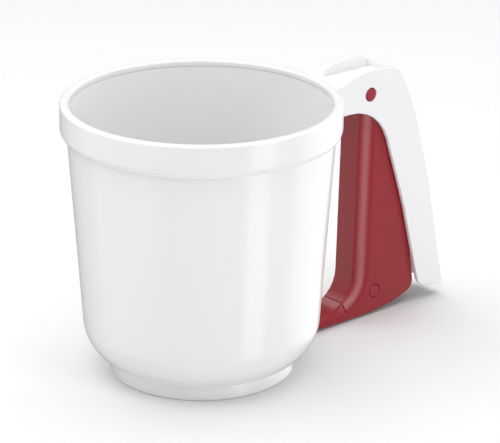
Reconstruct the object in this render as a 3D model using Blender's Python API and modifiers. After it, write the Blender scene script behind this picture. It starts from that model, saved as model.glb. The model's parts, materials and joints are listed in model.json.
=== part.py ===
"""One-hand flour sifter: a plastic cup with a squeeze trigger that swings a wire stirrer over a sieve.

Metres, +Z up. The origin is on the cup's axis, in the plane of its foot. +X points to the handle.
The trigger hangs from the pivot pin in the handle's head. Squeezed, its lower end moves along +X and
draws the pull link, the rod and the slotted yoke with it, and the yoke turns the stirrer about Z.
"""

import math

import bmesh
import bpy
from mathutils import Matrix, Vector

# Overall
rim_radius = 0.0625
cup_height = 0.126
gap = 0.0003  # running and joint clearance between neighbouring pieces
past = 0.0100  # how far a cutter reaches past the surface that it opens

# Cup
cup_wall = 0.0020
cup_taper = 0.068  # radius that the wall loses per unit of height
bottom_round = 0.0206  # radius of the turn between wall and floor
bottom_round_height = 0.0236  # height at which the wall starts to turn
floor_thickness = 0.0022

# Collar that grips the cup's edge
collar_height = 0.0157
collar_wall = 0.0019
collar_lip = 0.0030
collar_tuck = 0.0045  # radius by which the lower edge turns in
lip_round = 0.0013

# Handle
handle_width = 0.0220
cheek_wall = 0.0022
spine_wall = 0.0025
arm_flare = 0.0120  # fillet between the arm and the collar, seen from above
web_depth = 0.0078  # from the rim's plane down to the floor of the pocket in the head
web_thickness = 0.0015
pocket_start = 0.0135  # from the rim's outside to the pocket's rounded end
pocket_length = 0.0315
pocket_round_share = 0.8140  # of the pocket's half width
head_reach = 0.0475  # from the rim's outside to the back of the head
head_drop = 0.0028  # below the rim's plane
knee_reach = 0.0595
knee_drop = 0.0310
head_round = 0.0120
knee_round = 0.0600
long_round = 0.2000  # the long, nearly straight lines of handle and trigger
middle_reach = 0.0687
middle_share = 0.4841  # of the cup's height
foot_reach = 0.0770
foot_share = 0.1587  # of the cup's height
tip_reach = 0.0805
tip_height = 0.0048
cheek_foot_reach = 0.0638
cheek_foot_height = 0.0086
cheek_middle_reach = 0.0525
cheek_middle_share = 0.4206  # of the cup's height
arch_reach = 0.0352  # highest point of the cheeks' lower edge, behind the trigger's head
arch_drop = 0.0206
arm_root = 0.0060  # how far the arm starts inside the rim's outside
channel_start = 0.0035  # from the rim's outside to the channel under the arm
pocket_corner = 0.0010

# Trigger
trigger_wall = 0.0022
face_offset = 0.0243  # from the rim's outside to the trigger's front face, at its foot
face_lean = 0.0030  # how much further out the face is at the top
elbow_round = 0.0150  # concave turn between the front face and the link's upper side
flank_depth = 0.0090  # how far back from the face the sides have curved out to full width
flank_width = 0.0025  # how much narrower the face is than the sides, on each side
flank_on_link = 0.55  # share of that depth on the link's upper side
flank_steps = 5
flank_wall = 0.0050  # wall behind the curved flank, at the hollow's full width
hollow_step = 0.0010  # how much narrower the hollow is where it is deepest, on each side
rear_clearance = 0.0020  # left between rear edge and spine when squeezed
heel_share = 0.2063  # height of the rear edge's last bend, of the cup's height
toe_height = 0.0074
pivot_offset = 0.0295
pivot_drop = 0.0140  # below the rim's plane
pivot_radius = 0.0030
ear_wall = 0.0014
trigger_swing = math.radians(7.5)
drive_offset = 0.0370
drive_height = 0.0117
drive_radius = 0.0020
drive_head_radius = 0.0031
drive_head_depth = 0.0012
seam_radius = 0.0190  # joint line between trigger and link, round the drive pin
seam_height = 0.0150  # above it the trigger's front is one piece
slot_wall = 0.0032  # link round the ends of the drive pin's slot

# Pull link, rod and yoke
link_underside = 0.0012
link_top = 0.0072
link_end_offset = -0.0025  # from the rim's outside to the link's inner end
rod_radius = 0.00125
rod_height = 0.0046
rod_socket_depth = 0.0140
yoke_thickness = 0.0024
yoke_reach = 0.0240
yoke_leg = 0.0070
crank_radius = 0.0160
crank_pin_radius = 0.0015

# Sieve base
base_height = 0.0067
base_step = 0.0010  # how far the base stands back from the cup's lower edge
base_land = 0.0030  # width of the shoulder under the cup's floor
spigot_wall = 0.0023
spigot_rise = 0.0040
seat_thickness = 0.0010
seat_lip = 0.0031  # width of the ledge that carries the mesh
seat_inset = 0.0015  # how far the ledge reaches inside the spigot's bore
mesh_thickness = 0.00045
clamp_wire_radius = 0.00085
clamp_opening = math.radians(9.0)
guide_width = 0.0064
guide_wall = 0.0013

# Stirrer and bridge
loop_wire_radius = 0.0005
loop_count = 4
hub_radius = 0.0080
hub_neck_radius = 0.0055
hub_flange = 0.0025
hub_top = 0.0084
crank_thickness = 0.0020
crank_width = 0.0060
spindle_radius = 0.0020
collar_disc_radius = 0.0036
washer_thickness = 0.0005
clip_thickness = 0.0006
bridge_width = 0.0100
bridge_thickness = 0.0015
boss_depth = 0.0041
boss_width = 0.0100
boss_clearance = 0.0020  # from the sweeping loops up to the bosses
crank_top_drop = 0.0001  # the crank's top below the hub's
crank_head_height = 0.0009
recess_radius = 0.0044
recess_depth = 0.0023
clip_height = 0.0011  # above the spindle's lower end
clip_width = 0.0020
groove_depth = 0.0006
collar_disc_height = 0.0012
screw_radius = 0.0012
screw_head_radius = 0.0024
screw_head_height = 0.0014
nut_across_flats = 0.0070
nut_height = 0.0022

# Return spring
spring_height = 0.0580
spring_room = 0.0019  # from the coil's mean radius to the wide hollow's side
spring_wire = 0.0005
spring_turns = 7
post_room = 0.0018  # from the post's side to the coil's mean radius
spring_post_length = 0.0050

# Places that follow from the sizes above
cup_top = cup_height - collar_lip - gap
cup_top_radius = rim_radius - collar_wall - gap
collar_bottom = cup_height - collar_height
floor_underside = base_height + gap
pivot_x = rim_radius + pivot_offset
pivot_z = cup_height - pivot_drop
drive_x = rim_radius + drive_offset
web_top = cup_height - web_depth
web_underside = web_top - web_thickness
channel_half = handle_width / 2 - cheek_wall
pocket_round = pocket_round_share * channel_half
beyond_x = rim_radius + 0.0900  # past everything on the handle's side
trigger_half = channel_half - gap
hollow_half = trigger_half - trigger_wall
spring_radius = hollow_half - spring_room
spring_post_radius = spring_radius - post_room
link_end_x = rim_radius + link_end_offset
ear = pivot_radius + gap + ear_wall
shoulder = pivot_z - ear - 0.0020  # top of the trigger's channel, under its ears
arm_drop = pivot_z - drive_height
arm_reach = drive_x - pivot_x
stroke = arm_reach * (math.cos(trigger_swing) - 1) + arm_drop * math.sin(trigger_swing)
pin_rise = arm_drop * (1 - math.cos(trigger_swing)) + arm_reach * math.sin(trigger_swing)
crank_swing = math.asin(stroke / 2 / crank_radius)  # to each side of the Y axis


def wall_radius(height):
    """Outside radius of the straight part of the cup's wall."""
    return cup_top_radius - cup_taper * (cup_top - height)


draft = math.atan(cup_taper)
round_centre_r = wall_radius(bottom_round_height) - bottom_round * math.cos(draft)
round_centre_z = bottom_round_height + bottom_round * math.sin(draft)
floor_edge = round_centre_r + math.sqrt(bottom_round**2 - (round_centre_z - floor_underside) ** 2)
base_radius = floor_edge - base_step
spigot_radius = base_radius - base_land
spigot_inner = spigot_radius - spigot_wall
spigot_top = base_height + spigot_rise
seat_inner = spigot_inner - seat_inset
groove_radius = seat_inner + seat_lip
groove_top = seat_thickness + 2 * gap + mesh_thickness + 2 * clamp_wire_radius + 0.0005
mesh_top = seat_thickness + gap + mesh_thickness
loop_height = mesh_top + gap + loop_wire_radius
bridge_z = spigot_top + gap
bridge_top = bridge_z + bridge_thickness


# Scene and materials
def clear_scene():
    for obj in list(bpy.data.objects):
        bpy.data.objects.remove(obj, do_unlink=True)


def collection(name):
    made = bpy.data.collections.new(name)
    bpy.context.scene.collection.children.link(made)
    return made


def material(name, colour, roughness, metallic=0.0):
    made = bpy.data.materials.new(name)
    made.use_nodes = True
    shader = made.node_tree.nodes["Principled BSDF"]
    shader.inputs["Base Color"].default_value = (*colour, 1.0)
    shader.inputs["Roughness"].default_value = roughness
    shader.inputs["Metallic"].default_value = metallic
    made.diffuse_color = (*colour, 1.0)
    return made


clear_scene()
sifter = collection("flour_sifter")
cutters = collection("cutters")
white_plastic = material("white_plastic", (0.86, 0.86, 0.87), 0.25)
red_plastic = material("red_plastic", (0.37, 0.028, 0.045), 0.42)
pin_red = material("pin_red", (0.42, 0.012, 0.025), 0.35)
nylon = material("nylon", (0.80, 0.79, 0.75), 0.45)
steel = material("steel", (0.62, 0.62, 0.63), 0.28, 1.0)
mesh_steel = material("mesh_steel", (0.50, 0.50, 0.51), 0.40, 1.0)


# Building blocks
def add(name, data, finish, location=(0, 0, 0), rotation=(0, 0, 0), helper=False):
    """A new object in the sifter, or a hidden helper that cuts or joins."""
    obj = bpy.data.objects.new(name, data)
    obj.location = location
    obj.rotation_euler = rotation
    data.materials.append(finish)
    (cutters if helper else sifter).objects.link(obj)
    if helper:
        obj.hide_render = True
        obj.display_type = "WIRE"
    return obj


def turned(name, profile, finish, steps=48, **place):
    """A closed (radius, height) profile, listed down its outer side first, turned about Z."""
    mesh = bpy.data.meshes.new(name)
    shape = bmesh.new()
    points = [shape.verts.new((r, 0, z)) for r, z in profile]
    on_axis = profile[0][0] < 1e-9 and profile[-1][0] < 1e-9
    for start, end in zip(points, points[1:] + ([] if on_axis else points[:1])):
        shape.edges.new((start, end))
    shape.to_mesh(mesh)
    shape.free()
    obj = add(name, mesh, finish, **place)
    screw = obj.modifiers.new("turn", "SCREW")
    screw.steps = screw.render_steps = steps
    screw.use_merge_vertices = on_axis
    screw.merge_threshold = 0.00001
    return obj


def lofted(name, outlines, finish, helper=False):
    """A solid through equally long (x, z) outlines, each standing at its own y."""
    mesh = bpy.data.meshes.new(name)
    shape = bmesh.new()
    rows = [[shape.verts.new((x, y, z)) for x, z in outline] for y, outline in outlines]
    sides = []
    for row, ahead in zip(rows, rows[1:]):
        for i in range(len(row)):
            sides.append(shape.faces.new((row[i - 1], row[i], ahead[i], ahead[i - 1])))
    bmesh.ops.triangulate(shape, faces=sides)
    shape.faces.new(rows[0])
    shape.faces.new(rows[-1][::-1])
    bmesh.ops.recalc_face_normals(shape, faces=shape.faces)
    shape.to_mesh(mesh)
    shape.free()
    return add(name, mesh, finish, helper=helper)


def plate(name, outline, thickness, finish, **place):
    """A flat outline in the local XY plane, with half its thickness to each side."""
    curve = bpy.data.curves.new(name, "CURVE")
    curve.dimensions = "2D"
    curve.fill_mode = "BOTH"
    curve.extrude = thickness / 2
    spline = curve.splines.new("POLY")
    spline.points.add(len(outline) - 1)
    for point, (x, y) in zip(spline.points, outline):
        point.co = (x, y, 0, 1)
    spline.use_cyclic_u = True
    return add(name, solid_of(curve), finish, **place)


def upright(name, outline, width, finish, **place):
    """A plate whose outline is given as (x, z), standing in the XZ plane and centred on Y."""
    return plate(name, outline, width, finish, rotation=(math.pi / 2, 0, 0), **place)


def solid_of(curve):
    """The curve's evaluated surface as a closed mesh with its caps welded on."""
    maker = bpy.data.objects.new(curve.name, curve)
    bpy.context.scene.collection.objects.link(maker)
    graph = bpy.context.evaluated_depsgraph_get()
    mesh = bpy.data.meshes.new_from_object(maker.evaluated_get(graph), depsgraph=graph)
    bpy.data.objects.remove(maker)
    shape = bmesh.new()
    shape.from_mesh(mesh)
    bmesh.ops.remove_doubles(shape, verts=shape.verts, dist=1e-6)
    bmesh.ops.recalc_face_normals(shape, faces=shape.faces)
    shape.to_mesh(mesh)
    shape.free()
    mesh.materials.clear()
    return mesh


def wire(name, points, radius, finish, closed=False):
    """A round wire through the points."""
    curve = bpy.data.curves.new(name, "CURVE")
    curve.dimensions = "3D"
    curve.bevel_depth = radius
    curve.bevel_resolution = 2
    curve.use_fill_caps = True
    spline = curve.splines.new("POLY")
    spline.points.add(len(points) - 1)
    for point, place in zip(spline.points, points):
        point.co = (*place, 1)
    spline.use_cyclic_u = closed
    return add(name, curve, finish)


def block(name, low, high, finish, helper=False):
    """A box between two opposite corners."""
    mesh = bpy.data.meshes.new(name)
    shape = bmesh.new()
    size = Vector(high) - Vector(low)
    middle = (Vector(high) + Vector(low)) / 2
    bmesh.ops.create_cube(shape, size=1, matrix=Matrix.Translation(middle) @ Matrix.Diagonal((*size, 1)))
    shape.to_mesh(mesh)
    shape.free()
    return add(name, mesh, finish, helper=helper)


def rod_between(name, start, end, radius, finish, helper=False, sides=24):
    """A plain cylinder from one point to another."""
    start, end = Vector(start), Vector(end)
    mesh = bpy.data.meshes.new(name)
    shape = bmesh.new()
    bmesh.ops.create_cone(
        shape, cap_ends=True, segments=sides, radius1=radius, radius2=radius, depth=(end - start).length
    )
    shape.to_mesh(mesh)
    shape.free()
    turn = (end - start).to_track_quat("Z", "Y").to_euler()
    return add(name, mesh, finish, location=(start + end) / 2, rotation=turn, helper=helper)


def boolean(target, other, operation):
    change = target.modifiers.new(operation.lower(), "BOOLEAN")
    change.operation = operation
    change.object = other
    change.solver = "EXACT"


def cut(target, *others):
    for other in others:
        boolean(target, other, "DIFFERENCE")


def join(target, *others):
    for other in others:
        boolean(target, other, "UNION")


def arc(centre, radius, start, end, steps):
    """Points from one angle to another, in degrees, round a centre."""
    angles = [math.radians(start + (end - start) * i / steps) for i in range(steps + 1)]
    return [(centre[0] + radius * math.cos(a), centre[1] + radius * math.sin(a)) for a in angles]


def rounded(corners, steps=6):
    """The closed outline through (x, y, radius) corners, with an arc of that radius at each."""
    outline = []
    for i, (x, y, radius) in enumerate(corners):
        here = Vector((x, y))
        back = (Vector(corners[i - 1][:2]) - here).normalized()
        ahead = (Vector(corners[(i + 1) % len(corners)][:2]) - here).normalized()
        half = back.angle(ahead) / 2
        if radius < 1e-6 or half > math.radians(89.5):
            outline.append((x, y))
            continue
        centre = here + (back + ahead).normalized() * radius / math.sin(half)
        first = here + back * radius / math.tan(half) - centre
        last = here + ahead * radius / math.tan(half) - centre
        sweep = first.angle_signed(last)
        for step in range(steps + 1):
            outline.append(tuple(centre + Matrix.Rotation(-sweep * step / steps, 2) @ first))
    return outline


def smooth(obj):
    obj.data.shade_smooth()
    obj.data.set_sharp_from_angle(angle=math.radians(35))
    return obj


# Cup, collar and handle
def cup():
    """Tapered cup with a rounded bottom and an open floor for the sieve base."""
    end_outside = math.degrees(math.acos((floor_edge - round_centre_r) / bottom_round))
    inner_round = bottom_round - cup_wall
    floor_top = floor_underside + floor_thickness
    end_inside = math.degrees(math.asin((round_centre_z - floor_top) / inner_round))
    centre = (round_centre_r, round_centre_z)
    lean = math.degrees(draft)
    inside_top = cup_top_radius - cup_wall
    opening = spigot_radius + gap
    profile = [(cup_top_radius, cup_top)]
    profile += arc(centre, bottom_round, -lean, -end_outside, 8)
    profile += [(opening, floor_underside), (opening, floor_top)]
    profile += arc(centre, inner_round, -end_inside, -lean, 8)
    profile += [(inside_top, cup_top)]
    return smooth(turned("cup", profile, white_plastic, steps=64))


def collar_profile():
    """Ring with a lip over the cup's edge and a skirt that turns in to the wall."""
    tuck = [
        (rim_radius - collar_tuck + x, z)
        for x, z in arc((0, collar_bottom + collar_tuck), collar_tuck, 0, -58, 6)
    ]
    skirt_bottom = tuck[-1][1]
    lip_inner = cup_top_radius - cup_wall
    top = arc((lip_inner + lip_round, cup_height - lip_round), lip_round, 180, 90, 4)
    top += arc((rim_radius - lip_round, cup_height - lip_round), lip_round, 90, 0, 4)
    inside = [
        (wall_radius(skirt_bottom) + gap, skirt_bottom),
        (cup_top_radius + gap, cup_top),
        (cup_top_radius + gap, cup_top + gap),
        (lip_inner, cup_top + gap),
    ]
    return top + tuck + inside


def spine_corners(inset=0.0):
    """Corners of the handle's outer line from its head to its foot, set in by a wall."""
    return [
        (rim_radius + head_reach - inset, cup_height - head_drop, head_round),
        (rim_radius + knee_reach - inset, cup_height - knee_drop, knee_round),
        (rim_radius + middle_reach - inset, middle_share * cup_height, long_round),
        (rim_radius + foot_reach - inset, foot_share * cup_height, long_round),
    ]


def handle_outline():
    """Side view of the arm, the head and the cheeks."""
    root = rim_radius - arm_root
    top = [
        (root, cup_height - 0.0080, 0.0),
        (rim_radius + 0.0090, cup_height - 0.0070, 0.020),
        (rim_radius + 0.0240, cup_height - 0.0024, 0.030),
    ]
    foot = [
        (rim_radius + tip_reach, tip_height, 0.0015),
        (rim_radius + cheek_foot_reach, cheek_foot_height, 0.006),
    ]
    inner = [
        (rim_radius + cheek_middle_reach, cheek_middle_share * cup_height, long_round),
        (rim_radius + arch_reach, cup_height - arch_drop, 0.025),
        (rim_radius + 0.0115, cup_height - arch_drop - 0.0006, 0.010),
        (rim_radius + 0.0005, collar_bottom + 0.0005, 0.004),
        (root, collar_bottom + 0.0005, 0.0),
    ]
    return rounded(top + spine_corners() + foot + inner)


def arm_plan():
    """Arm and head from above, flared where they leave the collar."""
    half = handle_width / 2
    flare_x = math.sqrt((rim_radius + arm_flare) ** 2 - (half + arm_flare) ** 2)
    touch = math.degrees(math.atan2(half + arm_flare, flare_x))
    side = arc((flare_x, half + arm_flare), arm_flare, 180 + touch, 270, 6) + [(beyond_x, half)]
    inside = (rim_radius - arm_root) * math.cos(math.radians(touch))
    outline = [(inside, side[0][1])] + side
    return outline + [(x, -y) for x, y in reversed(outline)]


def collar_handle():
    """Collar, arm and channel-section handle, one moulding."""
    obj = turned("collar_handle", collar_profile(), white_plastic, steps=64)
    arm = upright("arm_side", handle_outline(), handle_width + 4 * arm_flare, white_plastic, helper=True)
    plan = plate("arm_plan", arm_plan(), 2.2 * cup_height, white_plastic, helper=True)
    boolean(arm, plan, "INTERSECT")
    start = rim_radius + channel_start
    channel = [(start, -past, 0.0), (start, web_underside, 0.003)]
    channel += [(rim_radius + head_reach - spine_wall, web_underside, 0.004)]
    channel += spine_corners(spine_wall)[1:]
    channel += [(rim_radius + tip_reach + 0.0030 - spine_wall, -past, 0.0)]
    hollow = upright("handle_channel", rounded(channel), 2 * channel_half, white_plastic, helper=True)
    pocket_x = rim_radius + pocket_start
    pocket_end = pocket_x + pocket_length
    pocket_outline = rounded(
        [
            (pocket_x, -channel_half, pocket_round),
            (pocket_end, -channel_half, pocket_corner),
            (pocket_end, channel_half, pocket_corner),
            (pocket_x, channel_half, pocket_round),
        ]
    )
    pocket = plate(
        "head_pocket", pocket_outline, 2 * past, white_plastic, location=(0, 0, web_top + past), helper=True
    )
    clear_bottom = collar_bottom - 2 * past
    clear = [
        (0.0, cup_top + gap),
        (cup_top_radius + gap, cup_top + gap),
        (wall_radius(clear_bottom) + gap, clear_bottom),
        (0.0, clear_bottom),
    ]
    inside = turned("cup_clearance", clear, white_plastic, steps=64, helper=True)
    bore = rod_between(
        "pivot_bore",
        (pivot_x, -handle_width, pivot_z),
        (pivot_x, handle_width, pivot_z),
        pivot_radius + gap,
        white_plastic,
        helper=True,
    )
    post_end = spine_inner_x(spring_height)
    post = rod_between(
        "spine_post",
        (post_end - spring_post_length, 0, spring_height),
        (post_end + spine_wall / 2, 0, spring_height),
        spring_post_radius,
        white_plastic,
        helper=True,
        sides=16,
    )
    cut(arm, hollow, pocket, inside, bore)
    join(obj, arm, post)
    return smooth(obj)


def spine_inner_x(height):
    """Where the spine's inner side is at a height between its straight corners."""
    corners = spine_corners(spine_wall)
    for (x0, z0, _), (x1, z1, _) in zip(corners, corners[1:]):
        if z1 <= height <= z0:
            return x0 + (x1 - x0) * (z0 - height) / (z0 - z1)
    return corners[-1][0]


# Trigger and link
def face_x(height):
    """The trigger's front face, which leans out towards the top."""
    share = (height - link_top) / (pivot_z - link_top)
    return rim_radius + face_offset + face_lean * share


def rear_x(height):
    """The trigger's rear edge at rest, which just clears the spine when the trigger is squeezed."""
    return spine_inner_x(height) - trigger_swing * (pivot_z - height) - rear_clearance


def hollow_outline(front_wall, link_wall):
    """Side view of the channel in trigger and link, open below and to the rear."""
    top = shoulder - trigger_wall
    foot_x = rim_radius + face_offset
    link_side = link_end_x - past
    return rounded(
        [
            (face_x(top) + front_wall, top, 0.002),
            (beyond_x, top, 0.0),
            (beyond_x, -past, 0.0),
            (link_side, -past, 0.0),
            (link_side, link_top - link_wall, 0.0),
            (foot_x + front_wall, link_top - link_wall, elbow_round + (front_wall + link_wall) / 2),
        ]
    )


def trigger_outline(inset=0.0):
    """Side view of trigger and link together, with the front and the link's top set in."""
    knee = cup_height - knee_drop
    middle = middle_share * cup_height
    heel = heel_share * cup_height
    foot_x = rim_radius + face_offset + inset
    top = link_top - flank_on_link * inset
    return rounded(
        [
            (pivot_x - ear, pivot_z + ear, ear * 0.999),
            (pivot_x + ear, pivot_z + ear, ear * 0.999),
            (pivot_x + ear, pivot_z - 0.001, 0.003),
            (rear_x(knee) - 0.0006, knee + 0.0020, 0.014),
            (rear_x(middle), middle, long_round),
            (rear_x(heel), heel, knee_round),
            (rear_x(heel) + 0.0027, toe_height, 0.005),
            (drive_x + 0.0135, 0.0034, 0.040),
            (drive_x - 0.0020, link_underside, 0.060),
            (link_end_x, link_underside, 0.0),
            (link_end_x, top, 0.0015 - 0.0010 * inset / flank_depth),
            (foot_x, top, elbow_round + (1 + flank_on_link) / 2 * inset),
            (face_x(shoulder) + inset, shoulder, 0.008),
            (pivot_x - ear, shoulder + 0.0040, 0.003),
        ],
        steps=7,
    )


def squeezed_body(name, helper=False):
    """Trigger and link together: a flat face with flanks that curve back to the full width."""
    bend = (flank_depth**2 + flank_width**2) / (2 * flank_width)
    turn = math.asin(flank_depth / bend)
    outlines = []
    for step in range(flank_steps + 1):
        angle = turn * step / flank_steps
        half = trigger_half - bend * (1 - math.cos(angle))
        outlines.append((half, trigger_outline(flank_depth - bend * math.sin(angle))))
    outlines += [(-half, outline) for half, outline in reversed(outlines)]
    return lofted(name, outlines, red_plastic, helper=helper)


def channel_cutters(prefix):
    """The channel in two widths, so that the wall behind the curved flanks stays thick."""
    narrow = hollow_outline(trigger_wall, trigger_wall)
    wide = hollow_outline(flank_wall, flank_on_link * flank_wall)
    return [
        upright(prefix + "_hollow", narrow, 2 * (hollow_half - hollow_step), red_plastic, helper=True),
        upright(prefix + "_hollow_wide", wide, 2 * hollow_half, red_plastic, helper=True),
    ]


def drive_disc(name, radius, width):
    """A thick disc round the drive pin's axis."""
    return rod_between(
        name,
        (drive_x, -width / 2, drive_height),
        (drive_x, width / 2, drive_height),
        radius,
        red_plastic,
        helper=True,
        sides=48,
    )


def trigger():
    """Channel-section trigger, open to the rear, with ears for the pivot pin."""
    obj = squeezed_body("trigger")
    ears = block(
        "ear_gap",
        (pivot_x - 0.012, -hollow_half, shoulder - 0.0001),
        (pivot_x + 0.030, hollow_half, pivot_z + 0.012),
        red_plastic,
        helper=True,
    )
    beyond = block(
        "beyond_seam",
        (link_end_x - past, -handle_width, -past),
        (drive_x, handle_width, seam_height),
        red_plastic,
        helper=True,
    )
    cut(beyond, drive_disc("seam_disc", seam_radius, 3 * handle_width))
    across = handle_width
    pivot_bore = rod_between(
        "trigger_pivot_bore",
        (pivot_x, -across, pivot_z),
        (pivot_x, across, pivot_z),
        pivot_radius + gap,
        red_plastic,
        helper=True,
    )
    drive_bore = rod_between(
        "trigger_drive_bore",
        (drive_x, -across, drive_height),
        (drive_x, across, drive_height),
        drive_radius + gap,
        red_plastic,
        helper=True,
    )
    sinks = [
        rod_between(
            f"drive_sink_{side}",
            (drive_x, sign * (trigger_half - drive_head_depth - gap), drive_height),
            (drive_x, sign * across, drive_height),
            drive_head_radius + gap,
            red_plastic,
            helper=True,
        )
        for side, sign in (("near", -1), ("far", 1))
    ]
    post = rod_between(
        "trigger_post",
        (face_x(spring_height) + trigger_wall / 2, 0, spring_height),
        (face_x(spring_height) + trigger_wall + spring_post_length, 0, spring_height),
        spring_post_radius,
        red_plastic,
        helper=True,
        sides=16,
    )
    cut(obj, *channel_cutters("trigger"), ears, beyond, pivot_bore, drive_bore, *sinks)
    join(obj, post)
    return smooth(obj)


def pull_link():
    """Bar from the drive pin to the rod, flush with the trigger outside the seam."""
    obj = squeezed_body("pull_link")
    beyond = block(
        "beyond_link",
        (drive_x - seam_radius * 0.70, -handle_width, -past),
        (beyond_x, handle_width, cup_height + past),
        red_plastic,
        helper=True,
    )
    above = block(
        "above_link",
        (link_end_x - past, -handle_width, drive_height - 0.0007),
        (beyond_x, handle_width, cup_height + past),
        red_plastic,
        helper=True,
    )
    tongue_half = hollow_half - gap
    tongue = upright(
        "link_tongue",
        rounded(
            [
                (drive_x - seam_radius - 0.004, link_underside + 0.0008, 0.0),
                (drive_x - seam_radius - 0.004, link_top - trigger_wall - 0.0010, 0.0),
                (drive_x - 0.0085, link_top - 0.0012, 0.004),
                (drive_x - 0.0048, drive_height + pin_rise + drive_radius + slot_wall, 0.002),
                (drive_x + 0.0048, drive_height + pin_rise + drive_radius + slot_wall, 0.002),
                (drive_x + 0.0048, link_underside + 0.0035, 0.003),
                (drive_x - 0.0040, link_underside + 0.0008, 0.004),
            ]
        ),
        2 * tongue_half,
        red_plastic,
        helper=True,
    )
    slot = upright(
        "pin_slot",
        rounded(
            [
                (drive_x - drive_radius - gap, drive_height - drive_radius - gap, drive_radius),
                (drive_x + drive_radius + gap, drive_height - drive_radius - gap, drive_radius),
                (drive_x + drive_radius + gap, drive_height + pin_rise + drive_radius + gap, drive_radius),
                (drive_x - drive_radius - gap, drive_height + pin_rise + drive_radius + gap, drive_radius),
            ]
        ),
        3 * handle_width,
        red_plastic,
        helper=True,
    )
    socket = rod_between(
        "rod_socket",
        (link_end_x - 0.005, 0, rod_height),
        (link_end_x + rod_socket_depth, 0, rod_height),
        rod_radius + gap,
        red_plastic,
        helper=True,
        sides=16,
    )
    cut(obj, drive_disc("link_seam_disc", seam_radius + gap, 3 * handle_width), beyond, above)
    join(obj, tongue)
    cut(obj, slot, socket)
    return smooth(obj)


def pins():
    """Pivot pin through handle and trigger, and headed drive pin through trigger and link."""
    half = handle_width / 2 - 0.00005
    pivot = rod_between(
        "pivot_pin", (pivot_x, -half, pivot_z), (pivot_x, half, pivot_z), pivot_radius, pin_red, sides=32
    )
    end = trigger_half - 0.00005
    neck = end - drive_head_depth
    profile = [
        (0, end),
        (drive_head_radius, end),
        (drive_head_radius, neck),
        (drive_radius, neck),
        (drive_radius, -neck),
        (drive_head_radius, -neck),
        (drive_head_radius, -end),
        (0, -end),
    ]
    drive = turned(
        "drive_pin",
        profile,
        pin_red,
        steps=24,
        location=(drive_x, 0, drive_height),
        rotation=(math.pi / 2, 0, 0),
    )
    return smooth(pivot), smooth(drive)


def return_spring():
    """Compression coil between the spine's post and the trigger's post."""
    start = face_x(spring_height) + trigger_wall + gap + spring_wire
    coil_top = spring_height + spring_radius + spring_wire
    end = spine_inner_x(coil_top) - gap - spring_wire
    per_turn = 12
    count = spring_turns * per_turn
    points = []
    for step in range(count + 1):
        angle = 2 * math.pi * step / per_turn
        x = start + (end - start) * step / count
        points.append(
            (x, spring_radius * math.sin(angle), spring_height + spring_radius * math.cos(angle))
        )
    return wire("return_spring", points, spring_wire, steel)


# Rod train
def pull_rod():
    """Rod from the yoke, through the base's guide, into the link."""
    start = -stroke / 2 + yoke_reach + gap
    end = link_end_x + rod_socket_depth - gap
    return smooth(
        rod_between("pull_rod", (start, 0, rod_height), (end, 0, rod_height), rod_radius, steel, sides=16)
    )


def yoke():
    """Flat L with a cross slot that drives the crank pin."""
    slot_x = -stroke / 2
    slot_half = crank_pin_radius + gap
    near = crank_radius * math.cos(crank_swing) - slot_half - gap
    far = crank_radius + slot_half + gap
    outer = far + 0.0018
    outline = rounded(
        [
            (slot_x - slot_half - 0.0020, near - 0.0018, 0.001),
            (slot_x + yoke_reach - yoke_leg, near - 0.0018, 0.002),
            (slot_x + yoke_reach - yoke_leg, -0.0035, 0.001),
            (slot_x + yoke_reach, -0.0035, 0.001),
            (slot_x + yoke_reach, 0.0060, 0.003),
            (slot_x + yoke_reach - 0.0100, outer, 0.003),
            (slot_x - slot_half - 0.0020, outer, 0.001),
        ],
        steps=4,
    )
    obj = plate("yoke", outline, yoke_thickness, steel, location=(0, 0, rod_height))
    slot = plate(
        "yoke_slot",
        rounded(
            [
                (slot_x - slot_half, near, slot_half * 0.98),
                (slot_x + slot_half, near, slot_half * 0.98),
                (slot_x + slot_half, far, slot_half * 0.98),
                (slot_x - slot_half, far, slot_half * 0.98),
            ]
        ),
        0.010,
        steel,
        location=(0, 0, rod_height),
        helper=True,
    )
    cut(obj, slot)
    return obj


def guide_limits():
    """Low and high corners of the guide block in the base."""
    low = (spigot_inner + gap, -guide_width / 2, rod_height - rod_radius - gap - guide_wall + 0.0003)
    high = (base_radius + 0.0006, guide_width / 2, base_height - 0.0001)
    return low, high


def rod_guide():
    """Nylon block in the base's notch, bored for the rod."""
    low, high = guide_limits()
    obj = block("rod_guide", low, high, nylon)
    bore = rod_between(
        "guide_bore",
        (low[0] - 0.005, 0, rod_height),
        (high[0] + 0.005, 0, rod_height),
        rod_radius + gap,
        nylon,
        helper=True,
        sides=24,
    )
    cut(obj, bore)
    return obj


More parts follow.
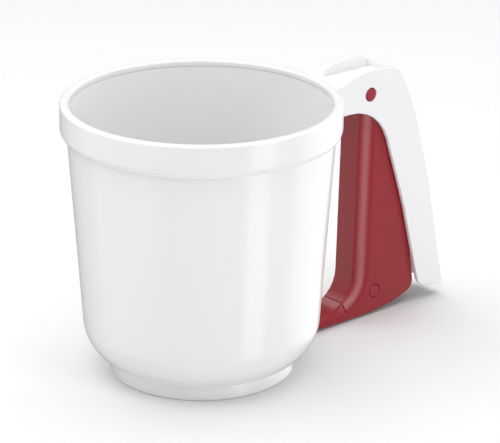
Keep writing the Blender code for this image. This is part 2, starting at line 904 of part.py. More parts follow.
# Sieve base
def base_ring():
    """Foot ring that carries the mesh and plugs into the cup's floor."""
    chamfer = 0.0006
    profile = [
        (spigot_inner, spigot_top),
        (spigot_radius, spigot_top),
        (spigot_radius, base_height),
        (base_radius, base_height),
        (base_radius, chamfer),
        (base_radius - chamfer, 0.0),
        (seat_inner, 0.0),
        (seat_inner, seat_thickness),
        (groove_radius, seat_thickness),
        (groove_radius, groove_top),
        (spigot_inner, groove_top),
    ]
    obj = turned("base_ring", profile, white_plastic, steps=64)
    low, high = guide_limits()
    notch = block(
        "guide_notch",
        (low[0] - 0.002, low[1] - gap, low[2] - gap),
        (high[0] + 0.002, high[1] + gap, base_height + gap),
        white_plastic,
        helper=True,
    )
    for side, sign in (("left", 1), ("right", -1)):
        inner = sign * (spigot_inner + 0.0005 - boss_depth)
        outer = sign * (spigot_inner + 0.0010)
        boss = block(
            f"boss_{side}",
            (-boss_width / 2, min(inner, outer), loop_height + boss_clearance),
            (boss_width / 2, max(inner, outer), spigot_top),
            white_plastic,
            helper=True,
        )
        join(obj, boss)
    for side, sign in (("left", 1), ("right", -1)):
        hole = rod_between(
            f"boss_hole_{side}",
            (0, sign * screw_y(), loop_height + boss_clearance + 0.0010),
            (0, sign * screw_y(), spigot_top + past),
            screw_radius + gap,
            white_plastic,
            helper=True,
            sides=16,
        )
        cut(obj, hole)
    cut(obj, notch)
    return smooth(obj)


def screw_y():
    """Distance of the bridge screws from the axis."""
    return spigot_inner - boss_depth / 2 + 0.0007


def sieve_mesh():
    """Woven mesh as a thin disc on its ledge."""
    bottom = seat_thickness + gap
    radius = groove_radius - gap
    profile = [(0, bottom + mesh_thickness), (radius, bottom + mesh_thickness), (radius, bottom), (0, bottom)]
    return smooth(turned("sieve_mesh", profile, mesh_steel, steps=64))


def mesh_clamp():
    """Split wire ring that snaps into the base's groove and holds the mesh down."""
    radius = groove_radius - gap - clamp_wire_radius
    height = mesh_top + gap + clamp_wire_radius
    sweep = 2 * math.pi - 2 * clamp_opening
    count = 48
    points = []
    for step in range(count + 1):
        angle = clamp_opening + sweep * step / count
        points.append((radius * math.cos(angle), radius * math.sin(angle), height))
    return wire("mesh_clamp", points, clamp_wire_radius, steel)


# Stirrer
def stirrer_loop(index):
    """Flat wire loop with two radial runs, one eighth of a turn apart."""
    start = 2 * math.pi * index / loop_count + math.pi / 8 + crank_swing
    span = math.pi / loop_count
    inner = hub_radius + gap
    outer = seat_inner - 0.0009
    bend = 0.004
    points = [(inner, start)]
    points += [(outer - bend, start)]
    points += [(outer - bend * 0.3, start + 0.025)]
    turns = 6
    for step in range(turns + 1):
        points.append((outer, start + 0.09 + (span - 0.18) * step / turns))
    points += [(outer - bend * 0.3, start + span - 0.025)]
    points += [(outer - bend, start + span)]
    points += [(inner, start + span)]
    route = [(r * math.cos(a), r * math.sin(a), loop_height) for r, a in points]
    return wire(f"stirrer_loop_{index + 1}", route, loop_wire_radius, steel)


def stirrer_hub():
    """Hub on the spindle with a crank arm, turned to its rest position."""
    bottom = mesh_top + gap
    recess_top = bottom + recess_depth
    bore = spindle_radius + gap
    profile = [
        (bore, hub_top),
        (hub_neck_radius, hub_top),
        (hub_neck_radius, bottom + hub_flange),
        (hub_radius, bottom + hub_flange),
        (hub_radius, bottom),
        (recess_radius, bottom),
        (recess_radius, recess_top),
        (bore, recess_top),
    ]
    obj = turned("stirrer_hub", profile, nylon, steps=32, rotation=(0, 0, crank_swing))
    crank_top = hub_top - crank_top_drop
    crank_end = crank_radius + crank_pin_radius + 0.0022
    arm = block(
        "crank_arm",
        (-crank_width / 2, hub_neck_radius - 0.0012, crank_top - crank_thickness),
        (crank_width / 2, crank_end, crank_top),
        nylon,
        helper=True,
    )
    arm.rotation_euler = (0, 0, crank_swing)
    at = crank_pin_place()
    hole = rod_between(
        "crank_hole",
        (*at, crank_top - 0.010),
        (*at, crank_top + 0.010),
        crank_pin_radius + gap,
        nylon,
        helper=True,
        sides=16,
    )
    join(obj, arm)
    cut(obj, hole)
    return smooth(obj)


def crank_pin_place():
    """Where the crank pin stands at rest, seen from above."""
    return -crank_radius * math.sin(crank_swing), crank_radius * math.cos(crank_swing)


def crank_pin():
    """Headed pin from the crank arm down through the yoke."""
    head_bottom = hub_top - crank_top_drop + gap
    head_top = head_bottom + crank_head_height
    bottom = rod_height - yoke_thickness / 2
    profile = [
        (0, head_top),
        (crank_pin_radius + 0.0010, head_top),
        (crank_pin_radius + 0.0010, head_bottom),
        (crank_pin_radius, head_bottom),
        (crank_pin_radius, bottom),
        (0, bottom),
    ]
    return smooth(turned("crank_pin", profile, steel, steps=16, location=(*crank_pin_place(), 0)))


def spindle():
    """Fixed shaft under the bridge, with a groove for the clip and a collar above the hub."""
    bottom = mesh_top + gap
    clip_z = bottom + clip_height
    groove = spindle_radius - groove_depth
    top = bridge_top + gap + nut_height + 0.0006
    collar_z = bridge_z - gap - collar_disc_height
    profile = [
        (0, top),
        (spindle_radius, top),
        (spindle_radius, bridge_z - gap),
        (collar_disc_radius, bridge_z - gap),
        (collar_disc_radius, collar_z),
        (spindle_radius, collar_z),
        (spindle_radius, clip_z + clip_thickness + gap),
        (groove, clip_z + clip_thickness + gap),
        (groove, clip_z - gap),
        (spindle_radius, clip_z - gap),
        (spindle_radius, bottom),
        (0, bottom),
    ]
    return smooth(turned("spindle", profile, steel, steps=24))


def spindle_clip():
    """Open spring clip in the spindle's groove, under the hub."""
    bottom = mesh_top + gap + clip_height
    inner = spindle_radius - groove_depth + gap
    opening = 50
    outline = arc((0, 0), inner + clip_width, opening, 360 - opening, 20)
    outline += arc((0, 0), inner, 360 - opening, opening, 16)
    return plate(
        "spindle_clip", outline, clip_thickness, steel, location=(0, 0, bottom + clip_thickness / 2)
    )


def hub_washer():
    """Thrust washer between the hub and the spindle's collar."""
    bottom = hub_top + gap
    profile = [
        (spindle_radius + gap, bottom + washer_thickness),
        (hub_neck_radius - 0.0005, bottom + washer_thickness),
        (hub_neck_radius - 0.0005, bottom),
        (spindle_radius + gap, bottom),
    ]
    return smooth(turned("hub_washer", profile, nylon, steps=24))


def bridge():
    """Bar across the base that carries the spindle."""
    reach = screw_y() + screw_head_radius
    mid = bridge_z + bridge_thickness / 2
    outline = rounded(
        [
            (-bridge_width / 2, -reach, 0.002),
            (bridge_width / 2, -reach, 0.002),
            (bridge_width / 2, reach, 0.002),
            (-bridge_width / 2, reach, 0.002),
        ],
        steps=4,
    )
    obj = plate("bridge", outline, bridge_thickness, steel, location=(0, 0, mid))
    for name, y, radius in (
        ("bridge_hole_left", screw_y(), screw_radius),
        ("bridge_hole_right", -screw_y(), screw_radius),
        ("bridge_hole_middle", 0.0, spindle_radius),
    ):
        hole = rod_between(
            name, (0, y, mid - 0.005), (0, y, mid + 0.005), radius + gap, steel, helper=True, sides=24
        )
        cut(obj, hole)
    return obj


def bridge_screw(name, side):
    """Cheese-head screw through the bridge into a boss."""
    head_bottom = bridge_top + gap
    head_top = head_bottom + screw_head_height
    profile = [
        (0, head_top),
        (screw_head_radius, head_top),
        (screw_head_radius, head_bottom),
        (screw_radius, head_bottom),
        (screw_radius, loop_height + boss_clearance + 0.0014),
        (0, loop_height + boss_clearance + 0.0014),
    ]
    return smooth(turned(name, profile, steel, steps=20, location=(0, side * screw_y(), 0)))


def spindle_nut():
    """Hexagon nut on top of the bridge."""
    corner = nut_across_flats / 2 / math.cos(math.pi / 6)
    outline = [
        (corner * math.cos(math.pi * i / 3), corner * math.sin(math.pi * i / 3)) for i in range(6)
    ]
    mid = bridge_top + gap + nut_height / 2
    obj = plate("spindle_nut", outline, nut_height, steel, location=(0, 0, mid))
    hole = rod_between(
        "nut_hole", (0, 0, mid - 0.005), (0, 0, mid + 0.005), spindle_radius + gap, steel, helper=True
    )
    cut(obj, hole)
    return obj


def hang_on(name, place, pieces):
    """Parents the pieces to an empty on their joint, leaving them where they are."""
    empty = bpy.data.objects.new(name, None)
    empty.location = place
    sifter.objects.link(empty)
    bpy.context.view_layer.update()
    for piece in pieces:
        piece.parent = empty
        piece.matrix_parent_inverse = empty.matrix_world.inverted()


def build():
    """Every piece, with each moving body hung on its joint."""
    cup()
    collar_handle()
    pivot, drive = pins()
    hang_on("trigger_axis", (pivot_x, 0, pivot_z), [trigger(), drive])
    return_spring()
    hang_on("rod_axis", (0, 0, rod_height), [pull_link(), pull_rod(), yoke()])
    base_ring()
    rod_guide()
    sieve_mesh()
    mesh_clamp()
    loops = [stirrer_loop(index) for index in range(loop_count)]
    hang_on("stirrer_axis", (0, 0, 0), [stirrer_hub(), crank_pin(), *loops])
    spindle()
    spindle_clip()
    hub_washer()
    bridge()
    bridge_screw("bridge_screw_left", 1)
    bridge_screw("bridge_screw_right", -1)
    spindle_nut()
    print(f"pull stroke {stroke * 1000:.2f} mm, pin rise {pin_rise * 1000:.2f} mm")
    print(f"stirrer swing {2 * math.degrees(crank_swing):.2f} degrees")
    print(f"base radius {base_radius * 1000:.2f} mm")


build()
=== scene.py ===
# %% [markdown]
# # A one-hand flour sifter
#
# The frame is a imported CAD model: a plastic cup with a handle, a red squeeze trigger and a wire stirrer
# that turns over a sieve. This lesson gives each piece its final surface: rounded edges where a mould
# rounds them, a real weave in the sieve, and finishes for the plastics and the steel.
# Everything is in metres, in the CAD model's own frame, so nothing has to be fitted.

import json
import math

import bmesh
import bpy
from mathutils import Matrix, Vector


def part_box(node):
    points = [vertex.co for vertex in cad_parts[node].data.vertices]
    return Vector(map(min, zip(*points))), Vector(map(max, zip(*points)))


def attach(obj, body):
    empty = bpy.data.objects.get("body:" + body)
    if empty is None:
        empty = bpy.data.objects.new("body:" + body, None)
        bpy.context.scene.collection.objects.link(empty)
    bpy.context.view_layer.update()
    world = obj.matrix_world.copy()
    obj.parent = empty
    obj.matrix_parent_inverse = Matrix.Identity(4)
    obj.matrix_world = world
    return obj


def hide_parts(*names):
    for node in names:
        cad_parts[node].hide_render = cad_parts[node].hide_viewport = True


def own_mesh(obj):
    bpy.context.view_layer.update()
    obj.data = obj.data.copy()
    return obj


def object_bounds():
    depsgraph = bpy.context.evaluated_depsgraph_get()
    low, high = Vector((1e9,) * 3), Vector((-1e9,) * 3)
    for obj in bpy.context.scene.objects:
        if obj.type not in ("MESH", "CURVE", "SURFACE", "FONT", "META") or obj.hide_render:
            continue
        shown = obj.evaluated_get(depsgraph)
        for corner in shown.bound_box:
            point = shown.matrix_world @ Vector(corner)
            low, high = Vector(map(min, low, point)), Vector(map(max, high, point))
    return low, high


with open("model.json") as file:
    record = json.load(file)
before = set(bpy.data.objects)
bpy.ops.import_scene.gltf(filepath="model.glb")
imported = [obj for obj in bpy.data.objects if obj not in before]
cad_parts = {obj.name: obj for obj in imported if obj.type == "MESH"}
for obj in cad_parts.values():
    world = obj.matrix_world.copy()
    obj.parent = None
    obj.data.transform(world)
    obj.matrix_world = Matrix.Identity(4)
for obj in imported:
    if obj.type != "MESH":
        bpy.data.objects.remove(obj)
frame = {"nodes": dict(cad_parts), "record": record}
cad_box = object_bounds()
print("CAD box", [[round(x, 4) for x in corner] for corner in cad_box])
print("nodes", len(frame["nodes"]))

# %% [markdown]
# ## The camera
#
# A long lens well back gives the calm perspective of a catalogue picture. The camera stands on a line
# through the middle of the cup, and then turns a little to the right, so that cup and handle share the
# picture. Turning it is better than shifting the lens, because every other view keeps the shift.

# %% Place the camera
AZIMUTH = math.radians(-39.5)
ELEVATION = math.radians(21.27)
DISTANCE = 1.150
LENS = 184.97
SENSOR = 36
TURN_RIGHT = math.radians(1.079)
TURN_UP = math.radians(0.272)



def direction(azimuth, elevation):
    """A unit vector; azimuth 0 looks from -Y and azimuth 90 from +X. Both are in radians."""
    level = math.cos(elevation)
    return Vector((math.sin(azimuth) * level, -math.cos(azimuth) * level, math.sin(elevation)))


middle = Vector((0, 0, cad_box[1].z / 2))
back = direction(AZIMUTH, ELEVATION)
camera = bpy.data.objects.new("camera", bpy.data.cameras.new("camera"))
bpy.context.scene.collection.objects.link(camera)
camera.data.lens = LENS
camera.data.sensor_width = SENSOR
facing = (-back).to_track_quat("-Z", "Y").to_matrix()
turn = Matrix.Rotation(-TURN_RIGHT, 3, "Y") @ Matrix.Rotation(TURN_UP, 3, "X")
camera.matrix_world = Matrix.Translation(middle + back * DISTANCE) @ (facing @ turn).to_4x4()
bpy.context.scene.camera = camera
print("camera at", [round(x, 3) for x in camera.location])

# %% [markdown]
# ## The light
#
# White plastic only reads as white against a pale ground, and only reads as glossy when it has large soft
# lights to mirror. Broad panels stand far round to the left and to the right, a narrow one stands in front
# and a very broad one hangs above. The space between the left and the front panel leaves the soft grey band
# down the middle of the cup. A small fill near the camera opens up the inside of the cup, and it is kept
# out of reflections. A wall seen from above mirrors what lies below the table, so the table is kept out of
# reflections too, and the lower halves of the panels show in the gloss.

# %% Hang the lights
PANEL_DISTANCE = 1.3
PANEL_HEIGHT = 1.7
PANEL_RISE = 3
FILL_RISE = 30
AIM = Vector((0.02, 0, 0.06))


def area_light(name, place, size, power):
    """A soft rectangular panel that faces the sifter, with its size in metres and its power in watts."""
    data = bpy.data.lights.new(name, "AREA")
    data.shape = "RECTANGLE"
    data.size, data.size_y = size
    data.energy = power
    panel = bpy.data.objects.new(name, data)
    bpy.context.scene.collection.objects.link(panel)
    panel.location = place
    panel.rotation_euler = (AIM - Vector(place)).to_track_quat("-Z", "Y").to_euler()
    return panel


def around(azimuth, elevation):
    """A place on the ring of panels, with both angles in degrees."""
    return PANEL_DISTANCE * direction(math.radians(azimuth), math.radians(elevation))


area_light("panel_left", around(-112, PANEL_RISE), (1.8, PANEL_HEIGHT), 7.4)
area_light("panel_right", around(82, PANEL_RISE), (1.6, PANEL_HEIGHT), 10.5)
area_light("panel_front", around(11, PANEL_RISE), (0.50, PANEL_HEIGHT), 10.0)
area_light("panel_top", (-0.1, 0.25, PANEL_DISTANCE), (2.2, 2.2), 28.0)
fill = area_light("panel_fill", around(-39.5, FILL_RISE), (0.7, 0.7), 0.55)
fill.visible_glossy = False

world = bpy.data.worlds.new("studio")
bpy.context.scene.world = world
world.use_nodes = True
sky = world.node_tree.nodes["Background"]
sky.inputs["Color"].default_value = (0.95, 0.97, 1.0, 1)
sky.inputs["Strength"].default_value = 0.20
bpy.context.scene.view_settings.view_transform = "Standard"

# %% [markdown]
# ## The table top
#
# One very large flat sheet at the height of the foot, so that its edge stays out of sight.

# %% Lay the table top
TABLE_REACH = 40.0

floor_shape = bmesh.new()
bmesh.ops.create_grid(floor_shape, x_segments=2, y_segments=2, size=TABLE_REACH)
floor_mesh = bpy.data.meshes.new("table_top")
floor_shape.to_mesh(floor_mesh)
floor_shape.free()
floor = bpy.data.objects.new("table_top", floor_mesh)
bpy.context.scene.collection.objects.link(floor)
floor.visible_glossy = False
print("table top", TABLE_REACH, "m each way")

# %% [markdown]
# ## Shader maths as Python
#
# A finish is easier to read as a formula than as a picture of wires. `Signal` stands for one output of a
# node, and adding or multiplying signals adds the Math nodes. Every other node comes from one method.

# %% Signals and finishes
class Signal:
    """A value that varies over a surface, as one output of a node."""

    def __init__(self, finish, socket):
        self.finish = finish
        self.socket = socket

    def maths(self, operation, first, second):
        return self.finish.node("ShaderNodeMath", {"operation": operation}, {0: first, 1: second})

    def __add__(self, other):
        return self.maths("ADD", self, other)

    def __sub__(self, other):
        return self.maths("SUBTRACT", self, other)

    def __rsub__(self, other):
        return self.maths("SUBTRACT", other, self)

    def __mul__(self, other):
        return self.maths("MULTIPLY", self, other)

    __radd__ = __add__
    __rmul__ = __mul__


class Finish:
    """A material, with its even values set on the shader and its varying ones fed by signals."""

    def __init__(self, name, **even):
        self.material = bpy.data.materials.new(name)
        self.material.use_nodes = True
        self.tree = self.material.node_tree
        self.shader = self.tree.nodes["Principled BSDF"]
        for socket, value in even.items():
            self.shader.inputs[socket.replace("_", " ")].default_value = value

    def node(self, kind, settings=None, inputs=None, output=0):
        """Adds a node, sets it up, feeds it, and gives back one of its outputs."""
        made = self.tree.nodes.new(kind)
        for key, value in (settings or {}).items():
            if key == "stops":
                for stop, (place, level) in zip(made.color_ramp.elements, value):
                    stop.position = place
                    stop.color = (level, level, level, 1)
            else:
                setattr(made, key, value)
        for key, value in (inputs or {}).items():
            if isinstance(value, Signal):
                self.tree.links.new(value.socket, made.inputs[key])
            else:
                made.inputs[key].default_value = value
        return Signal(self, made.outputs[output])

    def place(self):
        return self.node("ShaderNodeTexCoord", output="Object")

    def noise(self, scale, detail=3.0, stretch=(1, 1, 1)):
        """Soft random shading from 0 to 1; scale is in blots per metre."""
        where = self.node("ShaderNodeMapping", inputs={"Vector": self.place(), "Scale": stretch})
        return self.node("ShaderNodeTexNoise", inputs={"Vector": where, "Scale": scale, "Detail": detail})

    def only(self, signal, low, high):
        """0 below low and 1 above high."""
        return self.node("ShaderNodeValToRGB", {"stops": ((low, 0.0), (high, 1.0))}, {0: signal})

    def height(self):
        """The height above the table, in metres."""
        return self.node("ShaderNodeSeparateXYZ", inputs={0: self.place()}, output="Z")

    def colour(self, share, first, second):
        mix = self.node(
            "ShaderNodeMix",
            {"data_type": "RGBA"},
            {"Factor": share, 6: (*first, 1), 7: (*second, 1)},
            output=2,
        )
        self.tree.links.new(mix.socket, self.shader.inputs["Base Color"])

    def roughness(self, signal):
        self.tree.links.new(signal.socket, self.shader.inputs["Roughness"])

    def bump(self, signal, depth, strength=1.0):
        bump = self.node(
            "ShaderNodeBump", inputs={"Strength": strength, "Distance": depth, "Height": signal}
        )
        self.tree.links.new(bump.socket, self.shader.inputs["Normal"])


# %% [markdown]
# ## White gloss plastic
#
# The cup and the handle come out of polished moulds. The gloss is never perfect: it has a faint orange
# peel, a cloudiness where the plastic flowed, fine hairline scuffs from washing up, and a dull worn band
# where the foot stands on the table. Each of those is a small change in roughness or a shallow bump.

# %% White plastic
WORN_HEIGHT = 0.0025
PEEL_DEPTH = 0.000008


def white_gloss():
    finish = Finish("white_gloss_plastic", Coat_Weight=0.10, Coat_Roughness=0.16, Specular_IOR_Level=0.5)
    cloud = finish.noise(22.0, 2.0)
    peel = finish.noise(420.0, 2.0)
    hair = finish.only(finish.noise(700.0, 2.0, (1.0, 1.0, 0.06)), 0.55, 0.75)
    worn = 1 - finish.only(finish.height() * (1 / WORN_HEIGHT), 0.15, 0.9)
    finish.colour(cloud, (0.905, 0.905, 0.909), (0.925, 0.925, 0.926))
    finish.roughness(0.19 + cloud * 0.055 + hair * 0.012 + worn * 0.20)
    finish.bump(peel, PEEL_DEPTH, 0.6)
    return finish.material


WHITE = white_gloss()
print("finish", WHITE.name)

# %% [markdown]
# ## Red satin plastic
#
# The trigger comes from a mould with a fine sparked texture, so it scatters light and feels dry. A shallow
# grain about a third of a millimetre wide softens the pale highlight along its rounded flank. The pins are
# the same red with a smoother face.

# %% Red plastics
GRAIN_DEPTH = 0.000012
PIN_GRAIN_DEPTH = 0.00002


def red_satin():
    finish = Finish("red_satin_plastic", Specular_IOR_Level=0.72)
    cloud = finish.noise(35.0, 3.0)
    grain = finish.noise(3200.0, 2.0)
    blots = finish.only(finish.noise(140.0, 4.0), 0.45, 0.75)
    finish.colour(cloud * 0.6 + grain * 0.4, (0.275, 0.002, 0.009), (0.345, 0.004, 0.015))
    finish.roughness(0.285 + grain * 0.05 + blots * 0.03)
    finish.bump(grain, GRAIN_DEPTH, 0.6)
    return finish.material


def red_gloss():
    finish = Finish("red_pin_plastic", Specular_IOR_Level=0.5)
    cloud = finish.noise(300.0, 3.0)
    finish.colour(cloud, (0.31, 0.014, 0.028), (0.37, 0.020, 0.034))
    finish.roughness(0.26 + cloud * 0.10)
    finish.bump(cloud, PIN_GRAIN_DEPTH, 0.5)
    return finish.material


RED = red_satin()
PIN_RED = red_gloss()
print("finishes", RED.name, PIN_RED.name)

# %% [markdown]
# ## Nylon and steel
#
# The hub, its washer and the rod guide are natural nylon: warm, milky and a little waxy. The rod, the wires
# and the bridge are bright steel with fine drawing lines, which are noise drawn out along X. The wires of
# the sieve run both ways, so their noise is the same in every direction.

# %% Nylon and steel
NYLON_DEPTH = 0.00003
DRAWN_DEPTH = 0.000010
WORN_TONE = 0.90


def natural_nylon():
    finish = Finish("natural_nylon", Specular_IOR_Level=0.4)
    cloud = finish.noise(200.0, 3.0)
    finish.colour(cloud, (0.74, 0.72, 0.65), (0.80, 0.785, 0.73))
    finish.roughness(0.34 + cloud * 0.14)
    finish.bump(cloud, NYLON_DEPTH, 0.5)
    return finish.material


def bright_steel(name, tone, rough, lines):
    finish = Finish(name, Metallic=1.0)
    drawn = finish.noise(900.0, 4.0, lines)
    cloud = finish.noise(120.0, 2.0)
    finish.colour(cloud, tuple(WORN_TONE * part for part in tone), tone)
    finish.roughness(rough + drawn * 0.16)
    finish.bump(drawn, DRAWN_DEPTH, 0.5)
    return finish.material


NYLON = natural_nylon()
STEEL = bright_steel("bright_steel", (0.50, 0.50, 0.51), 0.29, (1.0, 14.0, 14.0))
WEAVE_STEEL = bright_steel("weave_steel", (0.48, 0.48, 0.49), 0.32, (6.0, 6.0, 6.0))
print("finishes", NYLON.name, STEEL.name, WEAVE_STEEL.name)

# %% [markdown]
# ## The table's surface
#
# The table is matt, close to white and very slightly cloudy, so that it carries a soft shadow and nothing
# else.

# %% Paint the table
def pale_table():
    finish = Finish("pale_table", Roughness=0.55, Specular_IOR_Level=0.3)
    finish.colour(finish.noise(3.0), (0.865, 0.865, 0.869), (0.88, 0.88, 0.88))
    return finish.material


floor.data.materials.append(pale_table())

# %% [markdown]
# ## Soft edges on a CAD piece
#
# A CAD solid has knife edges, and a real moulding or pressing has none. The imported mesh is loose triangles,
# so a copy is merged, its flat faces are joined up again, and the edges that are really corners are
# bevelled. The piece then stands for its CAD node and rides on the same body.

# %% Soften a copy of a CAD node
MERGE_WITHIN = 0.000002
FLAT_WITHIN = math.radians(0.6)
CORNER_FROM = math.radians(50)
BEVEL_STEPS = 3
BODY_OF = {node: body for body, nodes in frame["record"]["behaviour"]["bodies"].items() for node in nodes}


def finished(name, shape, material, node, flat=40):
    """The bmesh as a piece that stands for a CAD node, shaded smooth across bends below flat degrees."""
    mesh = bpy.data.meshes.new(name)
    shape.to_mesh(mesh)
    shape.free()
    mesh.materials.append(material)
    mesh.shade_smooth()
    mesh.set_sharp_from_angle(angle=math.radians(flat))
    piece = bpy.data.objects.new(name, mesh)
    bpy.context.scene.collection.objects.link(piece)
    weighted = piece.modifiers.new("even_normals", "WEIGHTED_NORMAL")
    weighted.keep_sharp = True
    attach(piece, BODY_OF[node])
    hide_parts(node)
    print(name, "faces", len(mesh.polygons))
    return piece


def softened(name, node, material, edge, adjust=None, flats=True):
    """A copy of a CAD node with its corners bevelled by edge, after any change of shape."""
    shape = bmesh.new()
    shape.from_mesh(frame["nodes"][node].data)
    bmesh.ops.remove_doubles(shape, verts=shape.verts, dist=MERGE_WITHIN)
    if flats:
        bmesh.ops.dissolve_limit(
            shape,
            angle_limit=FLAT_WITHIN,
            use_dissolve_boundaries=False,
            verts=shape.verts,
            edges=shape.edges,
        )
    if adjust:
        adjust(shape)
    bmesh.ops.bevel(
        shape,
        geom=[e for e in shape.edges if e.is_manifold and e.calc_face_angle(0) > CORNER_FROM],
        offset=edge,
        offset_type="OFFSET",
        segments=BEVEL_STEPS,
        profile=0.5,
        affect="EDGES",
        clamp_overlap=False,
        material=-1,
    )
    finished(name, shape, material, node)


# %% [markdown]
# ## Mouldings and pins
#
# A hand grips the handle's edges, so they have the largest round. The foot ring is turned and its flats are
# rings with a hole, which have to stay cut up into facets, so its flats are not joined.

# %% Mouldings and pins
softened("handle_moulding", "collar_handle", WHITE, 0.0005)
softened("foot_ring", "base_ring", WHITE, 0.0003, flats=False)
softened("upper_pin", "pivot_pin", PIN_RED, 0.00025)
softened("lower_pin", "drive_pin", PIN_RED, 0.00015)
softened("hub", "stirrer_hub", NYLON, 0.0003)
softened("guide_block", "rod_guide", NYLON, 0.0002)
softened("thrust_washer", "hub_washer", NYLON, 0.0001)

# %% [markdown]
# ## The trigger and its link
#
# The link carries on the trigger's own surface, and only a hairline runs between them. The CAD model keeps
# a running gap there. On the finished piece the link's round end is drawn out until a hair's breadth is
# left, so that the joint reads as a line and not as a slot.

# %% Trigger and link
RUNNING_GAP = 0.0003
SEAM_RADIUS = 0.0190
HAIRLINE = 0.00009
NEAR_ENOUGH = 0.00003


def draw_out_seam(shape):
    """Moves the link's round end out to a hair's breadth from the trigger."""
    pin_low, pin_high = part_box("drive_pin")
    axis = (pin_low + pin_high) / 2
    moved = 0
    for vert in shape.verts:
        away = Vector((vert.co.x - axis.x, vert.co.z - axis.z))
        if abs(away.length - SEAM_RADIUS - RUNNING_GAP) < NEAR_ENOUGH:
            wanted = away.normalized() * (SEAM_RADIUS + HAIRLINE)
            vert.co.x, vert.co.z = axis.x + wanted.x, axis.z + wanted.y
            moved += 1
    print("seam points drawn out", moved)


softened("squeeze_trigger", "trigger", RED, 0.0004)
softened("link_bar", "pull_link", RED, 0.0004, adjust=draw_out_seam)

# %% [markdown]
# ## The cup
#
# The cup is a solid of revolution, so its section is drawn once and spun round the axis: down the tapered
# wall, round the bottom and in along the floor. The collar is pressed over its upper edge with no gap that
# the eye can see, so the finished cup is carried up to the collar.

# %% Spin a section
POLE_MERGE = 0.000001


def arc(centre, radius, start, end, steps):
    """Points on a circle, with the angles in degrees."""
    angles = [math.radians(start + (end - start) * step / steps) for step in range(steps + 1)]
    return [(centre[0] + radius * math.cos(a), centre[1] + radius * math.sin(a)) for a in angles]


def spun(profile, steps):
    """A closed (radius, height) section turned about the Z axis."""
    shape = bmesh.new()
    points = [shape.verts.new((radius, 0, height)) for radius, height in profile]
    edges = [shape.edges.new(pair) for pair in zip(points, points[1:] + points[:1])]
    bmesh.ops.spin(
        shape,
        geom=points + edges,
        cent=(0, 0, 0),
        axis=(0, 0, 1),
        angle=math.tau,
        steps=steps,
        use_merge=True,
    )
    bmesh.ops.remove_doubles(shape, verts=shape.verts, dist=POLE_MERGE)
    bmesh.ops.recalc_face_normals(shape, faces=shape.faces)
    return shape


# %% [markdown]
# ## The cup's section
#
# The sizes are the CAD model's own. A moulder's drawing gives the taper, the wall, the round and the floor,
# and the section follows from them. Many steps round the axis keep the gloss free of facets.

# %% The cup's wall
CUP_WALL = 0.0020
CUP_TAPER = 0.068
COLLAR_LIP = 0.0030
COLLAR_JOINT = 0.00002
BOTTOM_ROUND = 0.0206
BOTTOM_ROUND_HEIGHT = 0.0236
FLOOR_THICKNESS = 0.0022
BASE_LAND = 0.0030
WALL_STEPS = 160
ROUND_STEPS = 20

height_of_rim = cad_box[1].z
cup_low, cup_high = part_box("cup")
outer_top = cup_high.x
lean = math.atan(CUP_TAPER)
edge_height = height_of_rim - COLLAR_LIP - COLLAR_JOINT
turn_radius = outer_top - CUP_TAPER * (cup_high.z - BOTTOM_ROUND_HEIGHT) - BOTTOM_ROUND * math.cos(lean)
turn_height = BOTTOM_ROUND_HEIGHT + BOTTOM_ROUND * math.sin(lean)
inner_round = BOTTOM_ROUND - CUP_WALL
underside = cup_low.z
floor_top = underside + FLOOR_THICKNESS
end_outside = math.degrees(math.asin((turn_height - underside) / BOTTOM_ROUND))
end_inside = math.degrees(math.asin((turn_height - floor_top) / inner_round))
base_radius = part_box("base_ring")[1].x
opening = base_radius - BASE_LAND + RUNNING_GAP
centre = (turn_radius, turn_height)
section = [(outer_top, edge_height)]
section += arc(centre, BOTTOM_ROUND, -math.degrees(lean), -end_outside, ROUND_STEPS)
section += [(opening, underside), (opening, floor_top)]
section += arc(centre, inner_round, -end_inside, -math.degrees(lean), ROUND_STEPS)
section += [(outer_top - CUP_WALL, edge_height)]
finished("cup_wall", spun(section, WALL_STEPS), WHITE, "cup", flat=30)

# %% [markdown]
# ## The steel
#
# The hidden works are turned, pressed and bent steel. Their CAD shapes are right, so they only need soft
# corners and a drawn finish.

# %% Steel pieces
for name, node, edge in (
    ("slotted_yoke", "yoke", 0.0002),
    ("crank_stud", "crank_pin", 0.0002),
    ("fixed_spindle", "spindle", 0.0001),
    ("spring_clip", "spindle_clip", 0.0001),
    ("top_nut", "spindle_nut", 0.0003),
    ("bridge_bar", "bridge", 0.0002),
):
    softened(name, node, STEEL, edge)

# %% [markdown]
# ## The bridge's screws
#
# A cheese-head screw has a slot for the driver. Its section is spun, and the slot is milled through the
# head with a thin block. The screws stand at different angles, as hand-tightened screws do.

# %% Slotted screws
SLOT_WIDTH = 0.0007
SLOT_DEPTH = 0.0007
SCREW_SHANK = 0.0012
SCREW_HEAD = 0.0024
HEAD_HEIGHT = 0.0014
HEAD_ROUND = 0.0003
HEAD_STEPS = 4
SCREW_STEPS = 48


def milled(shape, cutter):
    """The shape with the cutter's space taken out of it."""
    pair = []
    for each in (shape, cutter):
        mesh = bpy.data.meshes.new("blank")
        each.to_mesh(mesh)
        each.free()
        blank = bpy.data.objects.new("blank", mesh)
        bpy.context.scene.collection.objects.link(blank)
        pair.append(blank)
    cut = pair[0].modifiers.new("mill", "BOOLEAN")
    cut.operation = "DIFFERENCE"
    cut.solver = "EXACT"
    cut.object = pair[1]
    result = bmesh.new()
    result.from_object(pair[0], bpy.context.evaluated_depsgraph_get())
    for blank in pair:
        bpy.data.objects.remove(blank)
    return result


